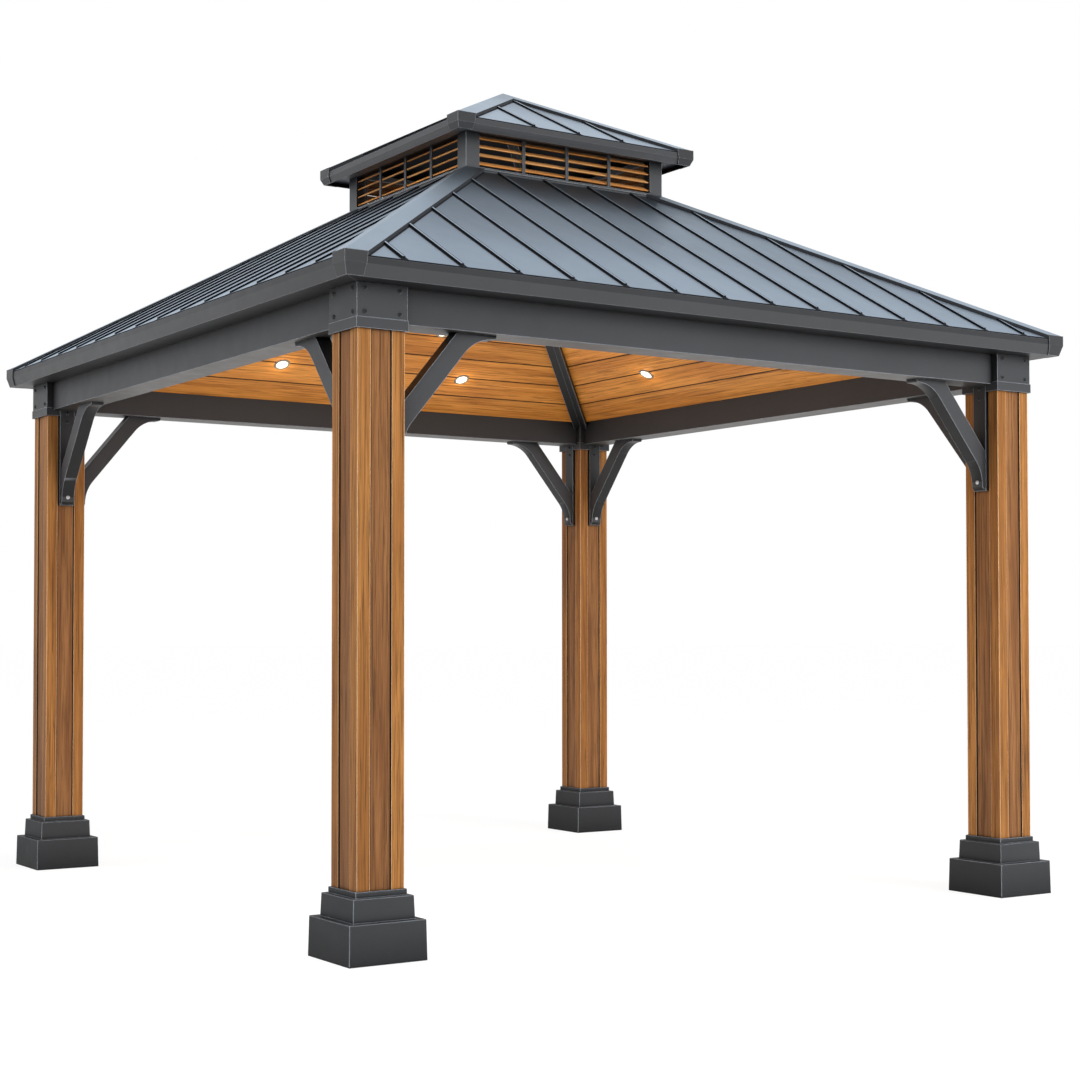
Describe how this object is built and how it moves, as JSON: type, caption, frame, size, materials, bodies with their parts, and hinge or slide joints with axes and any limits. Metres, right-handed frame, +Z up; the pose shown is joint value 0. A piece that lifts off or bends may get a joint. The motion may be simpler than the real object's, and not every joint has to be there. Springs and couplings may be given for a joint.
{
  "type": "metal gazebo",
  "caption": "Open square garden gazebo with panelled wood-look posts, swan-neck knee braces, a standing-seam metal hip roof and a louvred cupola under a second small roof.",
  "frame": {"origin": "on the ground at the centre of the plan, under the apex", "axes": "+Z up; -Y towards the front, the side that faces right in the picture; -X towards the side that faces left in the picture"},
  "size_m": [3.6, 3.6, 3.706],
  "materials": {
    "charcoal_metal": "charcoal powder coat, satin",
    "roof_metal": "blue-grey coated roof sheet, satin",
    "cap_metal": "blue-grey folded cap, satin",
    "wood_post": "wood-look cladding, vertical grain, matt",
    "wood_ceiling": "wood-look ceiling boards, grain along the eaves, satin",
    "wood_louvre": "wood-look louvre blades, matt",
    "foot_steel": "galvanised",
    "light_trim": "satin",
    "light_lens": "warm lit diffuser"
  },
  "bodies": {
    "root": {"foot_plates": "foot_steel", "base_cover_front_left": "charcoal_metal", "base_cover_front_right": "charcoal_metal", "base_cover_back_right": "charcoal_metal", "base_cover_back_left": "charcoal_metal", "post_front_left": "wood_post", "post_front_right": "wood_post", "post_back_right": "wood_post", "post_back_left": "wood_post", "bracket_front_left": "charcoal_metal", "bracket_front_right": "charcoal_metal", "bracket_back_right": "charcoal_metal", "bracket_back_left": "charcoal_metal", "beam_front": "charcoal_metal", "beam_right": "charcoal_metal", "beam_back": "charcoal_metal", "beam_left": "charcoal_metal", "braces_front_left": "charcoal_metal", "braces_front_right": "charcoal_metal", "braces_back_right": "charcoal_metal", "braces_back_left": "charcoal_metal", "brace_strips": "charcoal_metal", "hip_rafters": "charcoal_metal", "ceiling_front": "wood_ceiling", "ceiling_right": "wood_ceiling", "ceiling_back": "wood_ceiling", "ceiling_left": "wood_ceiling", "downlight_trims": "light_trim", "downlight_lenses": "light_lens", "roof_front": "roof_metal", "roof_right": "roof_metal", "roof_back": "roof_metal", "roof_left": "roof_metal", "hip_caps": "cap_metal", "eave_fascias": "charcoal_metal", "eave_corner_caps": "cap_metal", "cupola_front": "charcoal_metal", "cupola_right": "charcoal_metal", "cupola_back": "charcoal_metal", "cupola_left": "charcoal_metal", "louvre_blades": "wood_louvre", "upper_rafters": "charcoal_metal", "upper_roof": "roof_metal", "upper_hip_caps": "cap_metal", "upper_fascias": "charcoal_metal", "upper_corner_caps": "cap_metal"}
  },
  "joints": []
}
